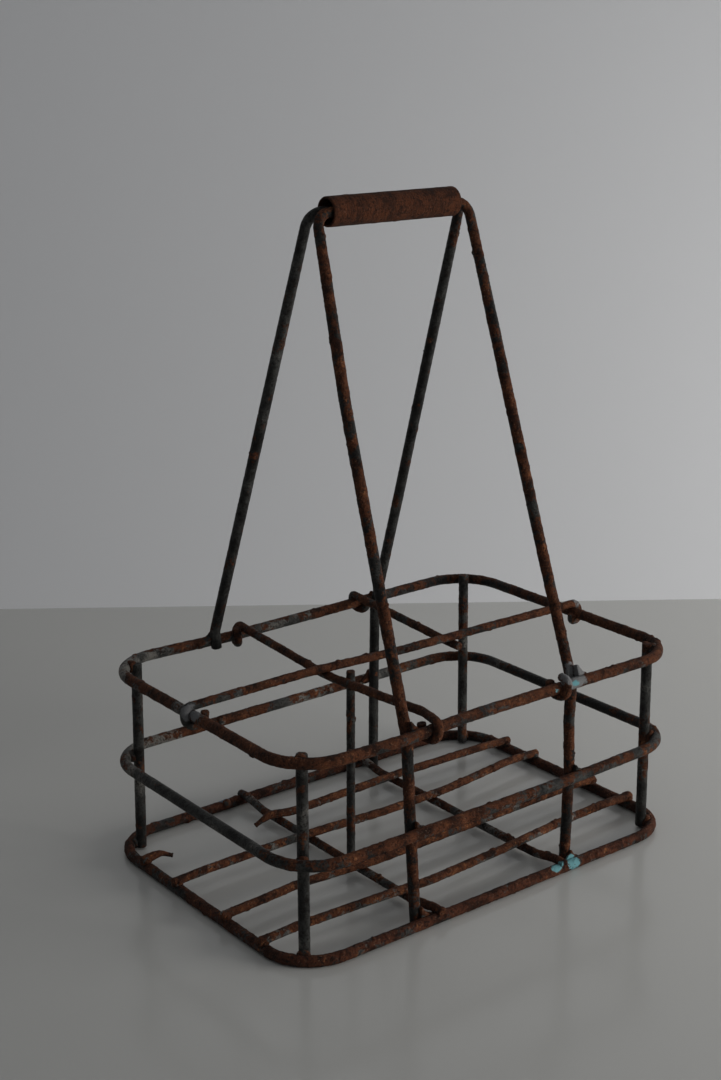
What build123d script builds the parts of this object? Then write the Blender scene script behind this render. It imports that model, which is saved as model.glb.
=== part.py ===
"""Six-cell wire carrier for milk bottles.

Three heavy wire rings are welded round four corner posts. Two heavy wire bails are welded inside
the rings, and their level tops lie side by side in a loose steel sleeve, which is the handgrip.
Light wire makes the cell dividers at the top and the floor grid at the bottom. It is an old
carrier: one bail leg, half a divider and the end of a floor wire are broken off.

The frame is in millimetres, with X along the long side, Y from front to back and Z up. The origin
is on the ground, under the middle of the carrier.
"""

import os
from math import radians, sin

from build123d import *

os.makedirs("parts", exist_ok=True)

# Wire stock
HEAVY = 6.8
LIGHT = 5.4
WELD_SINK = 0.15  # how far two welded wires press into each other
WRAP_GRIP = 0.9  # how deep a wrapped end is hammered on to the ring it grips
CROSS_SETDOWN = 1.95  # how deep a floor cross wire is sunk on the bottom ring
LONG_SETDOWN = 1.2  # the same for a floor long wire

# Rings, on the wire's centreline
RING_LENGTH = 300.0
RING_WIDTH = 206.0
CORNER_RADIUS = 32.0
BOTTOM_Z = HEAVY / 2
MIDDLE_Z = 64.0
TOP_Z = 124.0
MIDDLE_TILT_X = 0.003
MIDDLE_TILT_Y = 0.005
DENT_RADIUS = 150.0  # bends where a ring's side has been pushed out of straight

# Handgrip sleeve
GRIP_Z = 404.0
SLEEVE_OUTER = 17.5
SLEEVE_BORE = 14.5
SLEEVE_LEFT = -48.4
SLEEVE_RIGHT = 46.0
SLEEVE_EDGE = 0.4

# Bails
BAIL_GAP = 0.1  # between the two level tops, inside the sleeve
GRIP_BEND = 9.6
FOOT_BEND = 18.0
LEG_BOW = 400.0
POST_BOW = 120.0
POST_END_Z = 0.8

# Corner posts
POST_TOP_Z = [127.0, 127.8, 129.0, 126.2]  # front left, front right, back right, back left
POST_BOTTOM_Z = 1.2

# Cells and floor
CROSS_LEFT_X = -50.4
CROSS_RIGHT_X = 46.4
STAKE_Y = -15.0
STAKE_TOP_Z = 130.6
FLOOR_LEFT_X = -48.0
FLOOR_RIGHT_X = 50.8
FLOOR_END_X = 153.2
FLOOR_END_Y = 105.8
WRAP_BEND = 4.8
DIVIDER_BOW = 300.0
FLOOR_BOW = 90.0

# Weld metal
POST_BEAD = 4.2
FLOOR_BEAD = 3.8
WEB_EDGE = 1.4  # how thick a weld web ends on the ring and on the leg
WEB_HOLLOW = 1.15  # the radius of a web's hollow side, for each mm of its longer arm

# Worked out from the stock
HEAVY_STEP = HEAVY - WELD_SINK
LIGHT_ON_HEAVY = (HEAVY + LIGHT) / 2 - WELD_SINK
LIGHT_ON_LIGHT = LIGHT - WELD_SINK
WRAP_STEP = (HEAVY + LIGHT) / 2 - WRAP_GRIP
HALF_LENGTH = RING_LENGTH / 2
HALF_WIDTH = RING_WIDTH / 2
BAIL_Y = (HEAVY + BAIL_GAP) / 2
DIVIDER_Z = TOP_Z + WRAP_STEP
UNDERPASS_Z = DIVIDER_Z - LIGHT_ON_LIGHT
FLOOR_LONG_Z = BOTTOM_Z + LIGHT_ON_HEAVY
FLOOR_CROSS_Z = FLOOR_LONG_Z - LIGHT_ON_LIGHT


# ------------------------------------------------------------------ helpers
def bent_wire(points, radii, diameter, closed=False):
    """Adds a round wire along straight runs joined by tangent arcs."""
    with BuildLine() as route:
        FilletPolyline(*points, radius=radii, close=closed)
    path = route.wires()[0]
    with BuildSketch(Plane(origin=path @ 0, z_dir=path % 0)) as section:
        Circle(diameter / 2)
    sweep(sections=section.sketch, path=path)
    print(f"  wire {diameter} mm, {path.length:.0f} mm long")


def straight_wire(start, end, diameter):
    """Adds a straight round wire between two points."""
    run = Vector(*end) - Vector(*start)
    with BuildSketch(Plane(origin=start, z_dir=run)) as section:
        Circle(diameter / 2)
    extrude(section.sketch, amount=run.length)


def on_side(start, end, x):
    """The point at x on a ring's side that runs straight from start to end."""
    share = (x - start[0]) / (end[0] - start[0])
    return Vector(*start) + (Vector(*end) - Vector(*start)) * share


def wrap(centre, run, drift, end_height):
    """Corners of a light wire that comes along run, over a ring, round it and up its inner side.

    centre is on the ring's axis, run points outwards, and drift is the sideways shift at the end.
    """
    up = Vector(0, 0, WRAP_STEP)
    out = run * WRAP_STEP
    return [
        centre + out + up + drift * 0.15,
        centre + out - up + drift * 0.45,
        centre - out - up + drift * 0.8,
        centre - out + Vector(0, 0, end_height) + drift,
    ]


def web(corner, ring_way, leg_way, reach, rise, thickness, wires):
    """Adds a weld web in the crook between a ring and a leg, cut to the wires it joins."""
    plane = Plane(origin=corner, x_dir=ring_way, z_dir=ring_way.cross(leg_way))
    with BuildPart(mode=Mode.PRIVATE) as block:
        with BuildSketch(plane):
            with BuildLine():
                Polyline((reach, WEB_EDGE), (reach, 0), (0, 0), (0, rise), (WEB_EDGE, rise))
                RadiusArc((WEB_EDGE, rise), (reach, WEB_EDGE), -WEB_HOLLOW * max(reach, rise))
            make_face()
        extrude(amount=thickness / 2, both=True)
        for wire in wires:
            add(wire.part, mode=Mode.SUBTRACT)
    add(block.part.solids().sort_by(SortBy.VOLUME)[-1])


def seat_on(ring_wire):
    """Cuts the wire being made to the ring that it is sunk or hammered on to."""
    add(ring_wire.part, mode=Mode.SUBTRACT)


def bead(centre, through, radius, wires):
    """Adds a round weld bead, cut to the wires it joins; through is the way from one to the next."""
    with BuildPart(mode=Mode.PRIVATE) as block:
        with Locations(Plane(origin=centre, x_dir=(3, 1, 2), z_dir=through)):
            Sphere(radius)
        for wire in wires:
            add(wire.part, mode=Mode.SUBTRACT)
    add(block.part.solids().sort_by(SortBy.VOLUME)[-1])


# ------------------------------------------------------------------ rings
def on_middle_plane(x, y):
    """A point of the middle ring, which sits a little lower at its front left."""
    return (x, y, MIDDLE_Z + x * MIDDLE_TILT_X + y * MIDDLE_TILT_Y)


TOP_CORNERS = [
    (-150.6, -104.0, TOP_Z),
    (149.6, -103.0, TOP_Z),
    (150.6, 104.2, TOP_Z),
    (-148.8, 102.6, TOP_Z),
]
TOP_BACK_DENT = (-60.0, 97.6, TOP_Z)
TOP_FRONT_DENTS = [(-76.0, -105.8, TOP_Z), (-28.0, -101.8, TOP_Z), (52.0, -102.2, TOP_Z)]
MIDDLE_CORNERS = [
    on_middle_plane(-149.9, -105.4),
    on_middle_plane(150.0, -103.0),
    on_middle_plane(150.3, 104.1),
    on_middle_plane(-149.9, 103.0),
]
MIDDLE_FRONT_DENT = on_middle_plane(45.0, -106.2)
BOTTOM_CORNERS = [
    (-HALF_LENGTH, -HALF_WIDTH, BOTTOM_Z),
    (HALF_LENGTH, -HALF_WIDTH, BOTTOM_Z),
    (HALF_LENGTH, HALF_WIDTH, BOTTOM_Z),
    (-HALF_LENGTH, HALF_WIDTH, BOTTOM_Z),
]

TOP_LOOP = [
    TOP_CORNERS[0],
    *TOP_FRONT_DENTS,
    *TOP_CORNERS[1:3],
    TOP_BACK_DENT,
    TOP_CORNERS[3],
]
MIDDLE_LOOP = [MIDDLE_CORNERS[0], MIDDLE_FRONT_DENT, *MIDDLE_CORNERS[1:]]


def ring(loop, corners):
    """Adds a closed ring with its four corners rounded and the dents in its sides eased."""
    radii = [CORNER_RADIUS if point in corners else DENT_RADIUS for point in loop]
    bent_wire(loop, radii, HEAVY, closed=True)


with BuildPart() as top_ring:
    ring(TOP_LOOP, TOP_CORNERS)

with BuildPart() as middle_ring:
    ring(MIDDLE_LOOP, MIDDLE_CORNERS)

with BuildPart() as bottom_ring:
    ring(BOTTOM_CORNERS, BOTTOM_CORNERS)

# ------------------------------------------------------------------ corner posts
POST_NAMES = ["front_left", "front_right", "back_right", "back_left"]


def inside_corner(loop, corner):
    """Centre of a post that stands against the inside of a ring's rounded corner."""
    index = loop.index(corner)
    here = Vector(*corner)
    back = (Vector(*loop[index - 1]) - here).normalized()
    ahead = (Vector(*loop[(index + 1) % len(loop)]) - here).normalized()
    half_angle = radians(back.get_angle(ahead) / 2)
    inset = CORNER_RADIUS / sin(half_angle) - CORNER_RADIUS + HEAVY_STEP
    return here + (back + ahead).normalized() * inset


def post_at(index, z):
    """Centre of a corner post at height z, on the line from the bottom ring to the top ring."""
    low = inside_corner(BOTTOM_CORNERS, BOTTOM_CORNERS[index])
    high = inside_corner(TOP_LOOP, TOP_CORNERS[index])
    return low + (high - low) * ((z - low.Z) / (high.Z - low.Z))


posts = []
for index in range(len(POST_NAMES)):
    with BuildPart() as post:
        straight_wire(post_at(index, POST_BOTTOM_Z), post_at(index, POST_TOP_Z[index]), HEAVY)
    posts.append(post)

# ------------------------------------------------------------------ bails
# Where each leg crosses a ring, its centre is one wire step inside the ring's centreline.
LEG_B_TOP = on_side(TOP_FRONT_DENTS[0], TOP_FRONT_DENTS[1], -69.7) + Vector(0, HEAVY_STEP, 0)
LEG_B_MIDDLE = on_side(MIDDLE_CORNERS[0], MIDDLE_FRONT_DENT, -67.2) + Vector(0, HEAVY_STEP, 0)
LEG_B_BOTTOM = Vector(-61.2, HEAVY_STEP - HALF_WIDTH, POST_END_Z)
LEG_D_TOP = on_side(TOP_FRONT_DENTS[2], TOP_CORNERS[1], 62.2) + Vector(0, HEAVY_STEP, 0)
LEG_D_MIDDLE = on_side(MIDDLE_FRONT_DENT, MIDDLE_CORNERS[1], 58.7) + Vector(0, HEAVY_STEP, 0)
LEG_D_BOTTOM = Vector(59.2, HEAVY_STEP - HALF_WIDTH, POST_END_Z)
LEG_A_TOP = on_side(TOP_CORNERS[3], TOP_BACK_DENT, -72.9) - Vector(0, HEAVY_STEP, 0)
LEG_C_TOP = on_side(TOP_BACK_DENT, TOP_CORNERS[2], 59.9) - Vector(0, HEAVY_STEP, 0)
LEG_C_MIDDLE = on_side(MIDDLE_CORNERS[3], MIDDLE_CORNERS[2], 60.4) - Vector(0, HEAVY_STEP, 0)
LEG_C_BOTTOM = Vector(58.9, HALF_WIDTH - HEAVY_STEP, POST_END_Z)
FOOT_DROP = Vector(0, 0, 2.5)  # the legs bend a little below the top ring's centre

with BuildPart() as front_bail:
    bent_wire(
        [
            LEG_B_BOTTOM,
            LEG_B_MIDDLE,
            LEG_B_TOP - FOOT_DROP,
            (-64.6, -37.1, 304),
            (-57.6, -BAIL_Y, GRIP_Z),
            (54.3, -BAIL_Y, GRIP_Z),
            (58.4, -65.5, 215),
            LEG_D_TOP - FOOT_DROP,
            (58.8, -97.6, 98),
            LEG_D_MIDDLE,
            LEG_D_BOTTOM,
        ],
        [POST_BOW, FOOT_BEND, LEG_BOW, GRIP_BEND, GRIP_BEND, LEG_BOW, FOOT_BEND, 40, POST_BOW],
        HEAVY,
    )

with BuildPart() as back_bail:
    bent_wire(
        [
            LEG_A_TOP + Vector(0.6, 0, -2.8),
            LEG_A_TOP + Vector(-0.6, -0.6, 9),
            (-58.0, BAIL_Y, GRIP_Z),
            (55.6, BAIL_Y, GRIP_Z),
            (59.6, 68.3, 205),
            LEG_C_TOP - FOOT_DROP,
            LEG_C_MIDDLE,
            LEG_C_BOTTOM,
        ],
        [10, GRIP_BEND, GRIP_BEND, LEG_BOW, FOOT_BEND, POST_BOW],
        HEAVY,
    )

# ------------------------------------------------------------------ handgrip
with BuildPart() as grip_sleeve:
    with BuildSketch(Plane.YZ.offset(SLEEVE_LEFT)):
        with Locations((0, GRIP_Z)):
            Circle(SLEEVE_OUTER / 2)
            Circle(SLEEVE_BORE / 2, mode=Mode.SUBTRACT)
    extrude(amount=SLEEVE_RIGHT - SLEEVE_LEFT)
    outer_rims = grip_sleeve.edges().filter_by(GeomType.CIRCLE).group_by(SortBy.RADIUS)[-1]
    chamfer(outer_rims, SLEEVE_EDGE)

# ------------------------------------------------------------------ dividers at the top
LONG_LEFT = Vector(-149.7, 1.4, TOP_Z)
LONG_RIGHT = Vector(150.1, -4.4, TOP_Z)
LONG_DRIFT = Vector(0, -8.0, 0)
LEFT_BACK = on_side(TOP_BACK_DENT, TOP_CORNERS[2], CROSS_LEFT_X + 3.8)
LEFT_FRONT = on_side(TOP_FRONT_DENTS[0], TOP_FRONT_DENTS[1], CROSS_LEFT_X - 3.2)
RIGHT_BACK = on_side(TOP_BACK_DENT, TOP_CORNERS[2], CROSS_RIGHT_X + 0.8)
RIGHT_FRONT = on_side(TOP_FRONT_DENTS[1], TOP_FRONT_DENTS[2], CROSS_RIGHT_X + 3)
LEFT_BACK_DRIFT = Vector(-9.5, 0, 0)
RIGHT_BACK_DRIFT = Vector(7.0, 0, 0)
LEFT_FRONT_DRIFT = Vector(-5.6, 0, 0)
RIGHT_FRONT_DRIFT = Vector(-7.0, 0, 0)
TOWARDS_BACK = Vector(0, 1, 0)
TOWARDS_FRONT = Vector(0, -1, 0)
LEVEL = Vector(0, 0, WRAP_STEP)
INSIDE = 14.0  # a cross divider stays level this far inside its ring
WRAP_RADII = [WRAP_BEND] * 3
CRIMP_REACH = 6.5  # half the length of the dip where a cross divider ducks under the long one
CRIMP_BEND = 10.0

with BuildPart() as long_divider:
    bent_wire(
        [
            *reversed(wrap(LONG_LEFT, Vector(-1, 0, 0), LONG_DRIFT, 3.0)),
            (-62.0, 2.2, DIVIDER_Z),
            (2.0, -3.2, DIVIDER_Z),
            *wrap(LONG_RIGHT, Vector(1, 0, 0), LONG_DRIFT * 0.9, 0.6),
        ],
        [*WRAP_RADII, DIVIDER_BOW, DIVIDER_BOW, *WRAP_RADII],
        LIGHT,
    )
    seat_on(top_ring)

with BuildPart() as left_cross_divider:
    bent_wire(
        [
            *reversed(wrap(LEFT_BACK, TOWARDS_BACK, LEFT_BACK_DRIFT, 6.6)),
            (CROSS_LEFT_X, LEFT_BACK.Y - INSIDE, DIVIDER_Z),
            (CROSS_LEFT_X, 1.2 + CRIMP_REACH, UNDERPASS_Z),
            (CROSS_LEFT_X, 1.2 - CRIMP_REACH, UNDERPASS_Z),
            (CROSS_LEFT_X, LEFT_FRONT.Y + INSIDE, DIVIDER_Z),
            *wrap(LEFT_FRONT, TOWARDS_FRONT, LEFT_FRONT_DRIFT, 3.4),
        ],
        [*WRAP_RADII, 24, CRIMP_BEND, CRIMP_BEND, 24, *WRAP_RADII],
        LIGHT,
    )
    seat_on(top_ring)

with BuildPart() as right_cross_divider:
    bent_wire(
        [
            *reversed(wrap(RIGHT_BACK, TOWARDS_BACK, RIGHT_BACK_DRIFT, 1.0)),
            (CROSS_RIGHT_X, RIGHT_BACK.Y - INSIDE, DIVIDER_Z),
            (CROSS_RIGHT_X, -3.6 + CRIMP_REACH, UNDERPASS_Z),
            (CROSS_RIGHT_X - 0.4, -3.6 - CRIMP_REACH, UNDERPASS_Z - 0.2),
        ],
        [*WRAP_RADII, 24, CRIMP_BEND],
        LIGHT,
    )
    seat_on(top_ring)

with BuildPart() as right_cross_divider_remnant:
    bent_wire(
        [
            RIGHT_FRONT + LEVEL - TOWARDS_FRONT * 3.0,
            *wrap(RIGHT_FRONT, TOWARDS_FRONT, RIGHT_FRONT_DRIFT, 3.6),
        ],
        WRAP_RADII,
        LIGHT,
    )
    seat_on(top_ring)

with BuildPart() as divider_stake:
    straight_wire(
        (FLOOR_LEFT_X + 1.7, STAKE_Y, FLOOR_CROSS_Z + LIGHT / 2 - WELD_SINK),
        (CROSS_LEFT_X + LIGHT_ON_LIGHT, STAKE_Y, STAKE_TOP_Z),
        LIGHT,
    )

# ------------------------------------------------------------------ floor grid
CROSS_END_Z = BOTTOM_Z + (HEAVY + LIGHT) / 2 - CROSS_SETDOWN
LONG_END_Z = BOTTOM_Z + (HEAVY + LIGHT) / 2 - LONG_SETDOWN
LONG_RISE = 22.0  # how far in from its ends a long wire comes up to its full height


def floor_cross_wire(x):
    """Adds a cross wire that lies low between the rings' sides and is sunk on both of them."""
    half = [
        (x, FLOOR_END_Y, CROSS_END_Z - 0.5),
        (x, HALF_WIDTH - 5, CROSS_END_Z),
        (x, HALF_WIDTH - 24, FLOOR_CROSS_Z),
    ]
    bent_wire(half + [(px, -py, pz) for px, py, pz in reversed(half)], [12, 40, 40, 12], LIGHT)
    seat_on(bottom_ring)


def floor_long_wire(bends):
    """Adds a long wire from ring to ring, sunk on both of them, through bends at full height."""
    left_y, right_y = bends[0][1], bends[-1][1]
    bent_wire(
        [
            (-FLOOR_END_X, left_y, LONG_END_Z),
            (LONG_RISE - HALF_LENGTH, left_y, FLOOR_LONG_Z),
            *[(x, y, FLOOR_LONG_Z) for x, y in bends[1:-1]],
            (HALF_LENGTH - LONG_RISE, right_y, FLOOR_LONG_Z),
            (FLOOR_END_X, right_y, LONG_END_Z),
        ],
        FLOOR_BOW,
        LIGHT,
    )
    seat_on(bottom_ring)


with BuildPart() as floor_cross_wire_left:
    floor_cross_wire(FLOOR_LEFT_X)

with BuildPart() as floor_cross_wire_right:
    floor_cross_wire(FLOOR_RIGHT_X)

with BuildPart() as floor_long_wire_rear:
    bent_wire(
        [
            (-67.5, 60.6, 5.4),
            (-55.0, 60.6, FLOOR_LONG_Z + 0.6),
            (-41.0, 56.4, FLOOR_LONG_Z + 0.1),
            (52.0, 59.6, FLOOR_LONG_Z),
            (HALF_LENGTH - LONG_RISE, 57.8, FLOOR_LONG_Z),
            (FLOOR_END_X, 57.4, LONG_END_Z),
        ],
        [10, 20, FLOOR_BOW, FLOOR_BOW],
        LIGHT,
    )
    seat_on(bottom_ring)

with BuildPart() as floor_long_wire_rear_stub:
    bent_wire(
        [
            (-FLOOR_END_X, 59.6, LONG_END_Z - 0.3),
            (-146.0, 59.6, FLOOR_LONG_Z - 0.6),
            (-139.5, 58.0, FLOOR_LONG_Z + 0.6),
            (-133.0, 53.6, FLOOR_LONG_Z - 1.6),
        ],
        [8, 7],
        LIGHT,
    )
    seat_on(bottom_ring)

with BuildPart() as floor_long_wire_rear_middle:
    floor_long_wire([(-153, 22.8), (-56, 23.6), (8, 18.8), (62, 19.6), (153, 28.0)])

with BuildPart() as floor_long_wire_front_middle:
    floor_long_wire([(-153, -30.2), (-95, -27.6), (-40, -32.4), (153, -29.0)])

with BuildPart() as floor_long_wire_front:
    floor_long_wire([(-153, -68.4), (-76, -70.6), (-30, -73.4), (30, -70.2), (88, -64.8), (153, -63.2)])

# ------------------------------------------------------------------ welds
RIGHTWARDS = Vector(1, 0, 0)
LEFTWARDS = Vector(-1, 0, 0)
UPWARDS = Vector(0, 0, 1)
LEG_LEAN_FRONT = Vector(0, 0.32, 0.947)
LEG_LEAN_BACK = Vector(0, -0.32, 0.947)
INWARDS = Vector(0, -1, 0.7)  # from a back wire towards a leg that has broken off it
HALF_STEP = Vector(0, HEAVY_STEP / 2, 0)


def corner_beads(corners, joined, lift=0.0):
    """Adds the beads between the corner posts and the corners of the ring joined to them."""
    for post, corner in zip(posts, corners):
        index = corners.index(corner)
        centre = post_at(index, corner[2] + lift)
        outwards = (Vector(corner[0], corner[1], centre.Z) - centre).normalized()
        bead(centre + outwards * HEAVY / 2, outwards, POST_BEAD, [joined, post])


with BuildPart() as top_ring_welds:
    corner_beads(TOP_CORNERS, top_ring)
    back_joint = [top_ring, back_bail]
    front_joint = [top_ring, front_bail]
    web(LEG_A_TOP + HALF_STEP, LEFTWARDS, LEG_LEAN_BACK, 11.5, 10.0, 5.4, back_joint)
    web(LEG_A_TOP + HALF_STEP, RIGHTWARDS, LEG_LEAN_BACK, 8.0, 7.0, 5.0, [*back_joint, left_cross_divider])
    web(LEG_C_TOP + HALF_STEP, LEFTWARDS, LEG_LEAN_BACK, 7.0, 6.4, 4.8, [*back_joint, right_cross_divider])
    web(LEG_B_TOP - HALF_STEP, RIGHTWARDS, LEG_LEAN_FRONT, 8.6, 7.4, 5.2, [*front_joint, left_cross_divider])
    web(LEG_D_TOP - HALF_STEP, RIGHTWARDS, LEG_LEAN_FRONT, 11.0, 9.0, 7.0, front_joint)

with BuildPart() as middle_ring_welds:
    corner_beads(MIDDLE_CORNERS, middle_ring)
    back_joint = [middle_ring, back_bail]
    front_joint = [middle_ring, front_bail]
    web(LEG_C_MIDDLE + HALF_STEP, LEFTWARDS, UPWARDS, 9.0, 7.0, 5.0, back_joint)
    web(LEG_B_MIDDLE - HALF_STEP, RIGHTWARDS, UPWARDS, 9.0, 7.0, 5.2, front_joint)
    web(LEG_D_MIDDLE - HALF_STEP, RIGHTWARDS, UPWARDS, 8.5, 6.8, 5.0, front_joint)
    scar = on_side(MIDDLE_CORNERS[3], MIDDLE_CORNERS[2], -64.5)
    bead(scar + Vector(0, -2.2, 1.6), INWARDS, 3.2, [middle_ring])

with BuildPart() as bottom_ring_welds:
    corner_beads(BOTTOM_CORNERS, bottom_ring, lift=1.0)
    back_joint = [bottom_ring, back_bail]
    front_joint = [bottom_ring, front_bail]
    foot_b = Vector(-61.3, -HALF_WIDTH, BOTTOM_Z) + HALF_STEP
    foot_c = Vector(58.9, HALF_WIDTH, BOTTOM_Z) - HALF_STEP
    foot_d = Vector(59.2, -HALF_WIDTH, BOTTOM_Z) + HALF_STEP
    web(foot_b, RIGHTWARDS, UPWARDS, 12.5, 9.5, 5.2, front_joint)
    web(foot_c, RIGHTWARDS, UPWARDS, 8.0, 7.4, 4.8, back_joint)
    web(foot_d, RIGHTWARDS, UPWARDS, 10.0, 8.4, 5.4, front_joint)
    web(foot_d, LEFTWARDS, UPWARDS, 7.0, 6.4, 5.0, [*front_joint, floor_cross_wire_right])
    scar = Vector(-62.6, HALF_WIDTH, BOTTOM_Z)
    bead(scar + Vector(0, -2.2, 1.8), INWARDS, 3.2, [bottom_ring])

with BuildPart() as floor_wire_welds:
    for wire, left_y, right_y in (
        (floor_long_wire_rear_stub, 59.6, None),
        (floor_long_wire_rear, None, 57.4),
        (floor_long_wire_rear_middle, 22.8, 27.9),
        (floor_long_wire_front_middle, -30.1, -29.0),
        (floor_long_wire_front, -68.4, -63.2),
    ):
        for x, y in ((-HALF_LENGTH, left_y), (HALF_LENGTH, right_y)):
            if y is not None:
                centre = (x, y, BOTTOM_Z + HEAVY / 2)
                bead(centre, UPWARDS, FLOOR_BEAD, [bottom_ring, wire])

# ------------------------------------------------------------------ write the pieces
PIECES = {
    "top_ring": top_ring,
    "middle_ring": middle_ring,
    "bottom_ring": bottom_ring,
    **{f"corner_post_{place}": post for place, post in zip(POST_NAMES, posts)},
    "front_bail": front_bail,
    "back_bail": back_bail,
    "grip_sleeve": grip_sleeve,
    "long_divider": long_divider,
    "left_cross_divider": left_cross_divider,
    "right_cross_divider": right_cross_divider,
    "right_cross_divider_remnant": right_cross_divider_remnant,
    "divider_stake": divider_stake,
    "floor_cross_wire_left": floor_cross_wire_left,
    "floor_cross_wire_right": floor_cross_wire_right,
    "floor_long_wire_rear": floor_long_wire_rear,
    "floor_long_wire_rear_stub": floor_long_wire_rear_stub,
    "floor_long_wire_rear_middle": floor_long_wire_rear_middle,
    "floor_long_wire_front_middle": floor_long_wire_front_middle,
    "floor_long_wire_front": floor_long_wire_front,
    "top_ring_welds": top_ring_welds,
    "middle_ring_welds": middle_ring_welds,
    "bottom_ring_welds": bottom_ring_welds,
    "floor_wire_welds": floor_wire_welds,
}
for name, piece in PIECES.items():
    piece.part.label = name
    export_step(piece.part, f"parts/{name}.step")
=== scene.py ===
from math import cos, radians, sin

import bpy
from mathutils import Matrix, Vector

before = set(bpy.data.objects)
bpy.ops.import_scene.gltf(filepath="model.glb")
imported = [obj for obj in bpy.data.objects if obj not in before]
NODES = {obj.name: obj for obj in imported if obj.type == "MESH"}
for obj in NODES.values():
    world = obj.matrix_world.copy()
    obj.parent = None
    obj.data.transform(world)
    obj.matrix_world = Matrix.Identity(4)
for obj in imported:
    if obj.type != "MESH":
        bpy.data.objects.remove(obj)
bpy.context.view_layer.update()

# Looks of the old wire milk bottle carrier: rusted galvanised wire, lumpy welds and a rusted
# sleeve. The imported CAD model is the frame. Its wires keep their shape, and modifiers add the
# lumps, the pits and the scale of the rust. Units are metres, with X to the right, Y to the back
# and Z up.

SCENE = bpy.context.scene
MM = 0.001
WIRE_VOXEL = 0.55 * MM
WELD_VOXEL = 0.40 * MM
WIRE_EASING = 2  # smoothing steps after the remesh
WELD_EASING = 10  # more, because weld metal has flowed


# ------------------------------------------------------------------ node graphs
class Graph:
    """Builds shader or geometry nodes: the same patterns serve the colours and the shape."""

    def __init__(self, tree):
        self.tree = tree

    def node(self, kind, *inputs, **settings):
        """Adds a node, with its settings, and its inputs in order (None leaves one as it is)."""
        node = self.tree.nodes.new(kind)
        for name, value in settings.items():
            setattr(node, name, value)
        for index, value in enumerate(inputs):
            self.feed(node.inputs[index], value)
        return node

    def feed(self, socket, value):
        """Links a socket to another, or sets its value."""
        if isinstance(value, bpy.types.NodeSocket):
            self.tree.links.new(value, socket)
        elif value is not None:
            socket.default_value = value

    def math(self, operation, *inputs):
        return self.node("ShaderNodeMath", *inputs, operation=operation).outputs[0]

    def vector(self, operation, *inputs):
        return self.node("ShaderNodeVectorMath", *inputs, operation=operation).outputs[0]

    def add(self, *terms):
        total = terms[0]
        for term in terms[1:]:
            total = self.math("ADD", total, term)
        return total

    def times(self, *factors):
        total = factors[0]
        for factor in factors[1:]:
            total = self.math("MULTIPLY", total, factor)
        return total

    def noise(self, place, size, detail=4.0, rough=0.55, twist=0.0, seed=0.0):
        """Noise with features about size metres across."""
        moved = self.vector("ADD", place, (seed * 1.37, seed * 0.71, seed * 2.11))
        node = self.node("ShaderNodeTexNoise")
        self.feed(node.inputs["Vector"], moved)
        self.feed(node.inputs["Scale"], 1.0 / size)
        self.feed(node.inputs["Detail"], detail)
        self.feed(node.inputs["Roughness"], rough)
        self.feed(node.inputs["Distortion"], twist)
        return node.outputs[0]

    def cells(self, place, size, seed=0.0):
        """Distance from the middle of irregular cells about size metres across."""
        moved = self.vector("ADD", place, (seed * 0.93, seed * 1.61, seed * 0.37))
        node = self.node("ShaderNodeTexVoronoi")
        self.feed(node.inputs["Vector"], moved)
        self.feed(node.inputs["Scale"], 1.0 / size)
        return node.outputs[0]

    def ramp(self, value, low, high, start=0.0, end=1.0):
        """Goes smoothly from start to end as value goes from low to high."""
        return self.node(
            "ShaderNodeMapRange", value, low, high, start, end, interpolation_type="SMOOTHSTEP"
        ).outputs[0]

    def blend(self, share, first, second):
        """A colour between two."""
        node = self.node("ShaderNodeMix", data_type="RGBA")
        self.feed(node.inputs[0], share)
        for socket, value in ((node.inputs[6], first), (node.inputs[7], second)):
            self.feed(socket, (*value, 1.0) if isinstance(value, tuple) else value)
        return node.outputs[2]

    def near(self, place, centre, radius):
        """1 close to a point, falling smoothly to 0 at radius."""
        gap = self.node("ShaderNodeVectorMath", place, centre, operation="DISTANCE").outputs[1]
        return self.ramp(gap, radius, radius * 0.25)


# ------------------------------------------------------------------ rust, zinc and scale
ZONE_STRENGTH = 0.75
SPECULAR = 0.22  # rust and dull zinc shine less than clean metal
BUMP_DISTANCE = 0.0007


def rust_share(g, place, normal, look):
    """How far rust has taken over, from 0 on sound zinc to 1, with ragged edges."""
    wide = g.noise(place, look["patch"], detail=2.0, rough=0.5, twist=0.6, seed=look["seed"])
    ragged = g.noise(place, 0.0085, detail=6.0, rough=0.66, seed=look["seed"] + 3.0)
    speck = g.noise(place, 0.0018, detail=3.0, rough=0.6, seed=look["seed"] + 4.0)
    facing = g.node("ShaderNodeVectorMath", normal, look["facing"], operation="DOT_PRODUCT")
    level = g.add(
        g.times(g.add(wide, -0.5), 1.4),
        g.times(g.add(ragged, -0.5), 2.4),
        g.times(g.add(speck, -0.5), 0.9),
        facing.outputs[1],
        look["rust"],
    )
    for centre, radius, shift in look["zones"]:
        level = g.add(level, g.times(g.near(place, centre, radius), shift * ZONE_STRENGTH))
    return g.ramp(level, -0.10, 0.12)


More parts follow.
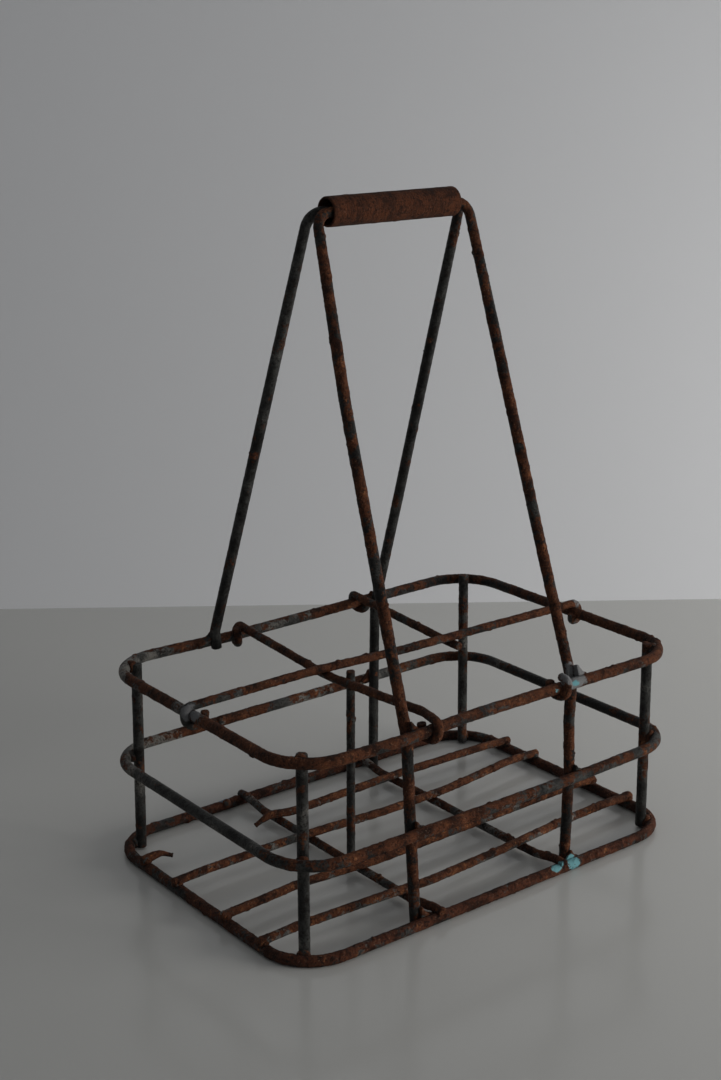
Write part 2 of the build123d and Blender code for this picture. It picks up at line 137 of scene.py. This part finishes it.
def rust_height(g, place, share, look):
    """How far the surface stands out, in metres: lumps and scale on the rust, pits in both."""
    seed = look["seed"]
    scale = g.noise(place, 0.0040, detail=4.0, rough=0.62, seed=seed + 7.0)
    flakes = g.ramp(g.noise(place, 0.0065, detail=2.0, seed=seed + 9.0), 0.50, 0.60)
    lumps = g.ramp(g.noise(place, 0.0075, detail=1.0, seed=seed + 15.0), 0.66, 0.76)
    pits = g.ramp(g.cells(place, 0.0030, seed=seed), 0.34, 0.06)
    grain = g.noise(place, 0.0015, detail=2.0, seed=seed + 5.0)
    crust = g.add(g.times(scale, 0.36), g.times(flakes, 0.14), g.times(lumps, 0.50), -0.19)
    bare = g.times(g.add(scale, -0.5), 0.22)
    height = g.add(
        g.times(share, crust),
        g.times(g.math("SUBTRACT", 1.0, share), bare),
        g.times(pits, -0.14),
        g.times(g.add(grain, -0.5), 0.26),
    )
    height = g.times(height, look["relief"] * MM)
    for centre, radius, depth in look["wasted"]:
        height = g.add(height, g.times(g.near(place, centre, radius), -depth))
    return height


def corrosion(name, look):
    """A geometry node group that moves the surface by the height of its rust."""
    tree = bpy.data.node_groups.new(name, "GeometryNodeTree")
    tree.interface.new_socket("Geometry", in_out="INPUT", socket_type="NodeSocketGeometry")
    tree.interface.new_socket("Geometry", in_out="OUTPUT", socket_type="NodeSocketGeometry")
    g = Graph(tree)
    shape = g.node("NodeGroupInput")
    place = g.node("GeometryNodeInputPosition").outputs[0]
    normal = g.node("GeometryNodeInputNormal").outputs[0]
    share = rust_share(g, place, normal, look)
    height = rust_height(g, place, share, look)
    offset = g.node("ShaderNodeVectorMath", normal, operation="SCALE")
    g.feed(offset.inputs["Scale"], height)
    moved = g.node("GeometryNodeSetPosition")
    g.feed(moved.inputs["Geometry"], shape.outputs[0])
    g.feed(moved.inputs["Offset"], offset.outputs[0])
    smooth = g.node("GeometryNodeSetShadeSmooth", moved.outputs[0])
    g.feed(g.node("NodeGroupOutput").inputs[0], smooth.outputs[0])
    return tree


def weathered(name, look):
    """A material of old galvanised steel: zinc that has gone dull, and rust through it."""
    material = bpy.data.materials.new(name)
    material.use_nodes = True
    tree = material.node_tree
    tree.nodes.clear()
    g = Graph(tree)
    spot = g.node("ShaderNodeTexCoord")
    place, normal = spot.outputs["Object"], spot.outputs["Normal"]
    seed = look["seed"]
    share = rust_share(g, place, normal, look)

    cloud = g.noise(place, 0.016, detail=5.0, rough=0.62, seed=seed + 11.0)
    speck = g.noise(place, 0.0020, detail=4.0, rough=0.7, seed=seed + 13.0)
    dust = g.noise(place, 0.0008, detail=2.0, rough=0.6, seed=seed + 14.0)
    paleness = g.add(
        g.times(g.add(cloud, -0.5), 2.0),
        g.times(g.add(speck, -0.5), 0.9),
        look["pale"],
    )
    for centre, radius, shift in look["pale_zones"]:
        paleness = g.add(paleness, g.times(g.near(place, centre, radius), shift))
    zinc = g.blend(g.ramp(paleness, -0.35, 0.25), look["zinc_dark"], look["zinc_mid"])
    zinc = g.blend(g.ramp(paleness, 0.15, 0.60), zinc, look["zinc_pale"])

    tone = g.noise(place, 0.010, detail=6.0, rough=0.70, seed=seed + 17.0)
    rust = g.blend(g.ramp(tone, 0.34, 0.56), look["rust_dark"], look["rust_mid"])
    fresh = g.add(tone, g.times(g.add(speck, -0.5), 0.7), look["fresh"])
    rust = g.blend(g.ramp(fresh, 0.60, 0.78), rust, look["rust_fresh"])
    rust = g.blend(g.times(g.ramp(dust, 0.62, 0.74), look["dusty"]), rust, look["dust"])

    colour = g.blend(share, zinc, rust)
    black = g.ramp(g.noise(place, 0.0055, detail=5.0, rough=0.7, seed=seed + 19.0), 0.54, 0.65)
    colour = g.blend(g.times(black, look["grime"]), colour, SOOT)
    pores = g.ramp(g.noise(place, 0.0013, detail=3.0, rough=0.7, seed=seed + 21.0), 0.50, 0.34)
    colour = g.blend(g.times(pores, 0.9), colour, SOOT)
    if look["streaks"]:
        turned = g.noise(g.vector("MULTIPLY", place, (9.0, 1.0, 1.0)), 0.009, detail=5.0, rough=0.6)
        colour = g.blend(g.ramp(turned, 0.56, 0.36, 0.0, look["streaks"]), colour, SOOT)
    # spots lay paint, weld grey and painted highlights over the colour
    for centre, radius, paint in look["spots"]:
        patchy = g.add(1.0, g.times(g.add(speck, cloud, -1.0), 2.4))
        ragged = g.times(g.near(place, centre, radius), patchy)
        colour = g.blend(g.ramp(ragged, 0.35, 0.60), colour, paint)

    rough = g.add(g.ramp(share, 0.0, 1.0, 0.50, 0.82), g.times(g.add(speck, -0.5), 0.25))
    grain = g.noise(place, 0.0009, detail=5.0, rough=0.7, seed=seed + 23.0)
    bump = g.node("ShaderNodeBump")
    g.feed(bump.inputs["Strength"], 1.0)
    g.feed(bump.inputs["Distance"], BUMP_DISTANCE)
    g.feed(bump.inputs["Height"], g.add(grain, g.times(speck, 0.8)))
    shader = g.node("ShaderNodeBsdfPrincipled")
    g.feed(shader.inputs["Base Color"], colour)
    g.feed(shader.inputs["Roughness"], rough)
    shader.inputs["Specular IOR Level"].default_value = SPECULAR
    g.feed(shader.inputs["Metallic"], g.ramp(share, 0.0, 0.7, 0.25, 0.0))
    g.feed(shader.inputs["Normal"], bump.outputs[0])
    g.feed(g.node("ShaderNodeOutputMaterial").inputs[0], shader.outputs[0])
    return material


SOOT = (0.010, 0.007, 0.006)
TURQUOISE = (0.12, 0.27, 0.29)
PALE_BLUE = (0.17, 0.22, 0.26)
# grey of a weld; the same grey is also the painted highlight on the long divider's wraps
WELD_GREY_AND_PAINTED_HIGHLIGHT = (0.15, 0.15, 0.15)
# paint and weld marks and painted highlights, as (centre, radius, colour)
PAINT_WELD_AND_HIGHLIGHT_MARKS = (
    ((0.0560, -0.1040, 0.1310), 0.0160, WELD_GREY_AND_PAINTED_HIGHLIGHT),
    ((0.0560, -0.1090, 0.1265), 0.0068, TURQUOISE),
    ((0.0402, -0.1090, 0.1250), 0.0056, TURQUOISE),
    ((0.0585, -0.1060, 0.0060), 0.0080, TURQUOISE),
    ((0.0446, -0.1060, 0.0085), 0.0072, TURQUOISE),
    ((0.1430, 0.0970, 0.0070), 0.0080, PALE_BLUE),
    ((-0.0626, 0.1050, 0.0060), 0.0070, PALE_BLUE),
    # painted highlight: the next two grey spots sit where light catches the long divider's wraps
    # over the top ring's left and right sides
    ((-0.1540, -0.0060, 0.1290), 0.0100, WELD_GREY_AND_PAINTED_HIGHLIGHT),
    ((0.1530, -0.0040, 0.1290), 0.0070, WELD_GREY_AND_PAINTED_HIGHLIGHT),
)
WORN_BY_SLEEVE = (((0.0, 0.0, 0.404), 0.110, 0.00042),)

# rust, pale and fresh shift how much there is of rust, pale zinc and fresh rust. facing is the way
# the rustier side faces. zones and pale_zones are (centre, radius, shift), spots are (centre,
# radius, colour), and wasted is (centre, radius, how much thinner the wire is). relief scales the
# height of the rust, and grime, dusty and streaks are the shares of soot, dust and turning marks.
BASE_LOOK = {
    "seed": 1.0,
    "patch": 0.032,
    "rust": 0.0,
    "facing": (0.0, 0.0, 0.12),
    "relief": 1.35,
    "pale": 0.0,
    "fresh": 0.0,
    "grime": 0.75,
    "dusty": 0.55,
    "zinc_dark": (0.015, 0.015, 0.014),
    "zinc_mid": (0.056, 0.056, 0.052),
    "zinc_pale": (0.19, 0.178, 0.158),
    "rust_dark": (0.020, 0.009, 0.006),
    "rust_mid": (0.086, 0.031, 0.015),
    "rust_fresh": (0.22, 0.088, 0.036),
    "dust": (0.34, 0.22, 0.15),
    "zones": (),
    "pale_zones": (),
    "wasted": (),
    "streaks": 0.0,
    "spots": PAINT_WELD_AND_HIGHLIGHT_MARKS,
}
LOOKS = {
    "welds": {"seed": 12.0, "rust": 0.15, "relief": 1.5, "pale": 0.1},
    "top_ring": {
        "seed": 2.0,
        "rust": 0.22,
        "zones": (
            ((-0.128, 0.095, 0.126), 0.055, -0.75),
            ((-0.150, 0.000, 0.126), 0.022, -0.70),
            ((-0.020, 0.100, 0.124), 0.050, -0.40),
            ((0.120, 0.085, 0.126), 0.050, -0.35),
            ((0.150, -0.060, 0.126), 0.060, 0.60),
            ((-0.150, -0.080, 0.126), 0.090, 0.60),
            ((0.000, -0.103, 0.126), 0.045, -0.10),
        ),
        "pale_zones": (
            ((-0.130, 0.090, 0.126), 0.060, 0.45),
            ((-0.020, 0.100, 0.124), 0.055, 0.15),
            ((0.130, 0.060, 0.126), 0.080, -0.50),
            ((-0.150, 0.000, 0.126), 0.024, 0.25),
        ),
    },
    "middle_ring": {
        "seed": 3.0,
        "rust": -0.10,
        "zones": (
            ((-0.060, 0.100, 0.064), 0.050, 0.70),
            ((0.040, 0.100, 0.064), 0.028, 0.55),
            ((-0.070, -0.103, 0.064), 0.100, 0.55),
            ((-0.150, -0.020, 0.064), 0.080, -0.55),
            ((0.150, 0.000, 0.064), 0.080, -0.35),
        ),
        "pale_zones": (
            ((-0.120, 0.095, 0.064), 0.060, 0.55),
            ((0.040, 0.100, 0.064), 0.080, 0.45),
            ((0.150, 0.000, 0.064), 0.080, -0.55),
        ),
    },
    "bottom_ring": {
        "seed": 4.0,
        "rust": 0.16,
        "grime": 0.95,
        "rust_mid": (0.070, 0.025, 0.014),
        "zones": (((-0.150, 0.040, 0.003), 0.060, -0.40), ((0.060, -0.103, 0.003), 0.120, 0.35)),
    },
    "corner_post": {
        "seed": 5.0,
        "rust": -0.28,
        "zones": (((0.140, 0.095, 0.090), 0.030, 0.55), ((-0.140, 0.095, 0.015), 0.040, 0.3)),
    },
    "front_bail": {"seed": 6.0, "rust": 0.10, "pale": -0.25, "wasted": WORN_BY_SLEEVE},
    "back_bail": {
        "seed": 7.0,
        "rust": -0.35,
        "pale": -0.12,
        "facing": (0.0, 0.0, 0.0),
        "wasted": WORN_BY_SLEEVE,
    },
    "divider_stake": {"seed": 13.0, "rust": -0.12, "pale": -0.05},
    "divider": {"seed": 8.0, "rust": 0.28, "zones": (((-0.153, -0.002, 0.127), 0.010, -1.0),)},
    "floor_long_wire": {
        "seed": 9.0,
        "rust": 0.22,
        "fresh": 0.05,
        "pale": 0.2,
        "wasted": (
            ((-0.1325, 0.0533, 0.0075), 0.0160, 0.0014),
            ((-0.0680, 0.0606, 0.0050), 0.0140, 0.0012),
        ),
    },
    "floor_cross_wire": {"seed": 10.0, "rust": 0.05, "pale": 0.15},
    "grip_sleeve": {
        "seed": 11.0,
        "rust": 1.2,
        "relief": 0.45,
        "rust_dark": (0.036, 0.015, 0.009),
        "rust_mid": (0.082, 0.028, 0.013),
        "rust_fresh": (0.130, 0.048, 0.022),
        "grime": 0.6,
        "streaks": 0.5,
        "dusty": 0.25,
    },
}


def look_of(name):
    """The look for a CAD node: the first one whose name the node's name holds."""
    for key, changes in LOOKS.items():
        if key in name:
            return key, {**BASE_LOOK, **changes}
    raise KeyError(name)


materials, groups = {}, {}
for name, piece in NODES.items():
    key, look = look_of(name)
    if key not in materials:
        materials[key] = weathered(f"aged_{key}", look)
        groups[key] = corrosion(f"corrosion_{key}", look)
    for entry in piece.material_slots:
        entry.material = materials[key]
    voxels = piece.modifiers.new("even_mesh", "REMESH")
    voxels.mode = "VOXEL"
    voxels.voxel_size = WELD_VOXEL if key == "welds" else WIRE_VOXEL
    voxels.use_smooth_shade = True
    ease = piece.modifiers.new("ease", "SMOOTH")
    ease.factor = 0.5
    ease.iterations = WELD_EASING if key == "welds" else WIRE_EASING
    rough = piece.modifiers.new("corrosion", "NODES")
    rough.node_group = groups[key]

# ------------------------------------------------------------------ room
CAMERA_PLACE = Vector((-0.6403, -0.7968, 0.5059))
CAMERA_YAW = 0.9135
CAMERA_PITCH = -0.2896
CAMERA_ROLL = -0.0073
CAMERA_LENS = 57.757  # for a 36 mm sensor along the picture's longer side
WALL_LEFT = Vector((0.0130, 0.5775, 0.0))
WALL_RIGHT = Vector((0.5327, 0.1937, 0.0))


def flat_material(name, colour, rough, mottle):
    """A plain painted or laminated surface with a faint unevenness."""
    material = bpy.data.materials.new(name)
    material.use_nodes = True
    tree = material.node_tree
    tree.nodes.clear()
    g = Graph(tree)
    place = g.node("ShaderNodeTexCoord").outputs["Object"]
    cloud = g.noise(place, 0.35, detail=3.0)
    shade = tuple(part * (1.0 - mottle) for part in colour)
    shader = g.node("ShaderNodeBsdfPrincipled")
    g.feed(shader.inputs["Base Color"], g.blend(cloud, colour, shade))
    g.feed(shader.inputs["Roughness"], g.add(rough, g.times(g.add(cloud, -0.5), 0.08)))
    g.feed(g.node("ShaderNodeOutputMaterial").inputs[0], shader.outputs[0])
    return material


def panel(name, corners, material):
    """A flat four-sided stage piece."""
    mesh = bpy.data.meshes.new(name)
    mesh.from_pydata([tuple(corner) for corner in corners], [], [(0, 1, 2, 3)])
    mesh.materials.append(material)
    piece = bpy.data.objects.new(name, mesh)
    SCENE.collection.objects.link(piece)


# The wall stands behind the carrier, and the table runs from its foot towards the camera.
REACH = 4.0
WALL_HEIGHT = 3.0
wall_way = (WALL_RIGHT - WALL_LEFT).normalized()
wall_out = Vector((-wall_way.y, wall_way.x, 0))
wall_out = -wall_out if wall_out.dot(CAMERA_PLACE - WALL_LEFT) < 0 else wall_out
left_end = WALL_LEFT - wall_way * REACH
right_end = WALL_LEFT + wall_way * REACH
up = Vector((0, 0, WALL_HEIGHT))
panel("backdrop", [left_end, right_end, right_end + up, left_end + up],
      flat_material("wall_paint", (0.60, 0.605, 0.615), 0.9, 0.02))
front = wall_out * REACH
panel("table", [left_end, left_end + front, right_end + front, right_end],
      flat_material("table_top", (0.51, 0.505, 0.478), 0.17, 0.02))


def area_light(name, place, target, size, power, colour, spread):
    """A soft rectangular light that faces a point; glossy surfaces don't mirror it."""
    light = bpy.data.lights.new(name, "AREA")
    light.shape = "RECTANGLE"
    light.size, light.size_y = size
    light.energy = power
    light.color = colour
    light.spread = radians(spread)
    lamp = bpy.data.objects.new(name, light)
    SCENE.collection.objects.link(lamp)
    lamp.location = place
    lamp.visible_glossy = False
    lamp.rotation_euler = (Vector(target) - Vector(place)).to_track_quat("-Z", "Y").to_euler()


WARM_WHITE = (1.0, 0.99, 0.98)
COOL_WHITE = (0.96, 0.98, 1.0)
ROOM_LIGHT = 0.17
area_light(
    "window", (1.12, -1.18, 0.27), (0.25, 0.45, -0.10), (1.0, 0.5), 13.6, WARM_WHITE, 125
)
area_light("ceiling", (-0.2, -0.3, 2.4), (0, 0, 0), (2.6, 2.6), 5.5, COOL_WHITE, 180)
world = bpy.data.worlds.new("room")
world.use_nodes = True
world.node_tree.nodes["Background"].inputs[0].default_value = (0.92, 0.95, 1.0, 1.0)
world.node_tree.nodes["Background"].inputs[1].default_value = ROOM_LIGHT
SCENE.world = world
SCENE.view_settings.view_transform = "Standard"

# ------------------------------------------------------------------ camera
ahead = Vector((
    cos(CAMERA_PITCH) * cos(CAMERA_YAW),
    cos(CAMERA_PITCH) * sin(CAMERA_YAW),
    sin(CAMERA_PITCH),
))
sideways = ahead.cross(Vector((0, 0, 1))).normalized()
upright = sideways.cross(ahead)
right_way = sideways * cos(CAMERA_ROLL) + upright * sin(CAMERA_ROLL)
up_way = upright * cos(CAMERA_ROLL) - sideways * sin(CAMERA_ROLL)
lens = bpy.data.cameras.new("camera")
lens.lens = CAMERA_LENS
lens.clip_start = 0.01
camera = bpy.data.objects.new("camera", lens)
SCENE.collection.objects.link(camera)
turn = Matrix((right_way, up_way, -ahead)).transposed().to_4x4()
camera.matrix_world = Matrix.Translation(CAMERA_PLACE) @ turn
SCENE.camera = camera
